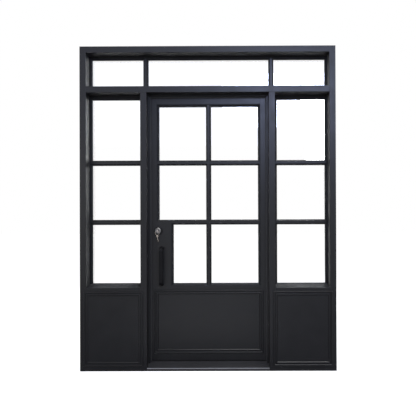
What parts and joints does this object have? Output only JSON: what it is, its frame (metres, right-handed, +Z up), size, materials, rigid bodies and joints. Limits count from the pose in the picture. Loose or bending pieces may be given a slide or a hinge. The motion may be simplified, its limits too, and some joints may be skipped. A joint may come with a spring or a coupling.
{
  "type": "glass door with sidelights and transom",
  "caption": "Black steel-framed glass entrance door: one leaf in divided lites over a kick panel, between matching sidelights and under a transom, with lock and pulls.",
  "frame": {"origin": "on the floor, at the middle of the threshold's underside and of the frame's depth", "axes": "+X to the right seen from outside, +Y inwards, +Z up"},
  "size_m": [2.05, 0.22, 2.6],
  "materials": {
    "frame_paint": "satin black powder coat",
    "glass": "clear",
    "spacer_metal": "anodised dark",
    "seal_rubber": "matt extruded",
    "block_rubber": "matt",
    "hinge_paint": "satin black",
    "washer_brass": "turned",
    "hardware_black": "matt black",
    "strike_steel": "brushed",
    "bolt_steel": "ground",
    "cylinder_nickel": "satin nickel",
    "key_nickel": "polished nickel silver",
    "screw_steel": "zinc"
  },
  "bodies": {
    "frame": {"jamb_left": "frame_paint", "jamb_right": "frame_paint", "head": "frame_paint", "transom_rail": "frame_paint", "mullion_left": "frame_paint", "mullion_right": "frame_paint", "side_sill_left": "frame_paint", "side_sill_right": "frame_paint", "side_rail_left": "frame_paint", "side_rail_right": "frame_paint", "threshold": "frame_paint", "door_stops": "frame_paint", "door_seal": "seal_rubber", "glazing_stops": "frame_paint", "glazing_bars": "frame_paint", "glazing_beads": "frame_paint", "glass_spacers": "spacer_metal", "setting_blocks": "block_rubber", "transom_glass": "glass", "side_glass_left": "glass", "side_glass_right": "glass", "kick_panel_left": "frame_paint", "kick_panel_right": "frame_paint", "moulding_left": "frame_paint", "moulding_right": "frame_paint", "hinge_knuckles_frame": "hinge_paint", "hinge_washers": "washer_brass", "strike_plate": "strike_steel", "strike_screws": "screw_steel"},
    "door": {"stile_lock": "frame_paint", "stile_hinge": "frame_paint", "leaf_top_rail": "frame_paint", "leaf_mid_rail": "frame_paint", "leaf_foot_rail": "frame_paint", "lock_box": "frame_paint", "leaf_sweep": "seal_rubber", "leaf_stops": "frame_paint", "leaf_bars": "frame_paint", "leaf_beads": "frame_paint", "leaf_spacers": "spacer_metal", "leaf_setting_blocks": "block_rubber", "leaf_glass": "glass", "leaf_kick_panel": "frame_paint", "leaf_moulding": "frame_paint", "hinge_knuckles_leaf": "hinge_paint", "bolt_sleeve": "screw_steel", "bolt_faceplate": "strike_steel", "lock_screws": "screw_steel", "cylinder_ring": "hardware_black", "lock_cylinder": "cylinder_nickel", "thumbturn_rose": "hardware_black", "outer_pull": "hardware_black", "inner_pull": "hardware_black"},
    "key": {"key_plug": "cylinder_nickel", "key": "key_nickel"},
    "hanging_keys": {"key_ring": "key_nickel", "spare_key": "key_nickel"},
    "thumbturn": {"thumbturn": "hardware_black", "tailpiece": "bolt_steel"},
    "deadbolt": {"deadbolt": "bolt_steel"}
  },
  "joints": [
    {"name": "door_swing", "type": "hinge", "parent": "frame", "child": "door", "pos_m": [0.4875, 0.086, 1.15], "axis": [0, 0, -1], "range_deg": [0, 100]},
    {"name": "thumbturn_turn", "type": "hinge", "parent": "door", "child": "thumbturn", "pos_m": [-0.414, 0.05, 1.12], "axis": [0, -1, 0], "range_deg": [0, 90]},
    {"name": "key_turn", "type": "hinge", "parent": "door", "child": "key", "pos_m": [-0.414, 0.05, 1.12], "axis": [0, -1, 0], "range_deg": [0, 90]},
    {"name": "deadbolt_slide", "type": "slide", "parent": "door", "child": "deadbolt", "axis": [-1, 0, 0], "range_m": [0, 0.025]},
    {"name": "key_ring_swing", "type": "hinge", "parent": "key", "child": "hanging_keys", "pos_m": [-0.414, -0.014, 1.1177], "axis": [0, -1, 0], "range_deg": [-20, 20]}
  ],
  "couplings": [
    {"joint": "thumbturn_turn", "follows": "deadbolt_slide", "rad_per_m": 62.831},
    {"joint": "key_turn", "follows": "deadbolt_slide", "rad_per_m": 62.831}
  ]
}
